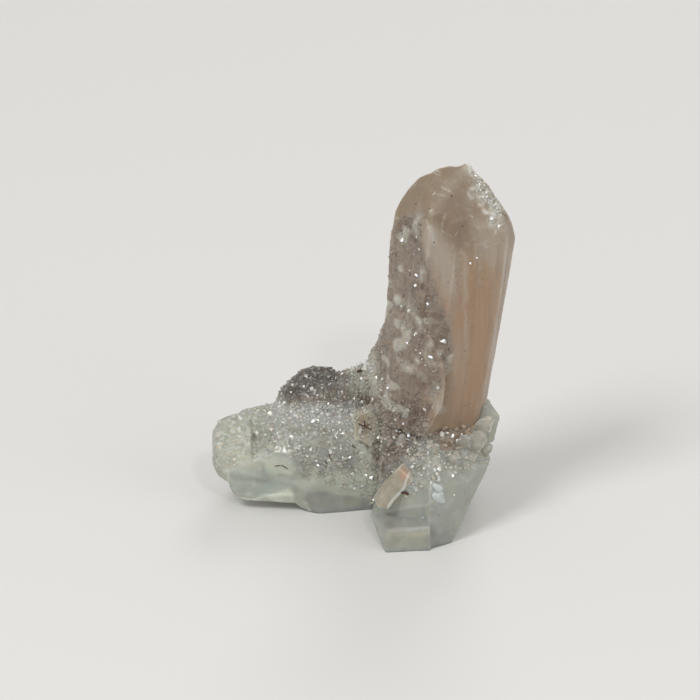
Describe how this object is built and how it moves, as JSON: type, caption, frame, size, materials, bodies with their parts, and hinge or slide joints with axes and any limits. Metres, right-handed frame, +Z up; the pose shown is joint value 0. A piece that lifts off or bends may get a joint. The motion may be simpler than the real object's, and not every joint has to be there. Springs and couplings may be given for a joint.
{
  "type": "stilbite crystal specimen",
  "caption": "Loose stilbite specimen: an upright peach bladed crystal with a drusy flank, grown on a pale glassy base that it stands on.",
  "frame": {"origin": "centre of the specimen's box, on the surface it stands on", "axes": "+Z up, along the blade; the side in the picture faces -Y, with the pale arm towards -X"},
  "size_m": [0.0408, 0.024, 0.0526],
  "materials": {
    "stilbite": "translucent peach crystal with fine lengthwise striations and a satin to glassy lustre",
    "glassy_base": "see-through to milky pale green crystal with glassy cleavage faces",
    "druse": "sugary mauve-brown crust of small sparkling crystals"
  },
  "bodies": {
    "root": {"stilbite_specimen": "stilbite"}
  },
  "joints": []
}
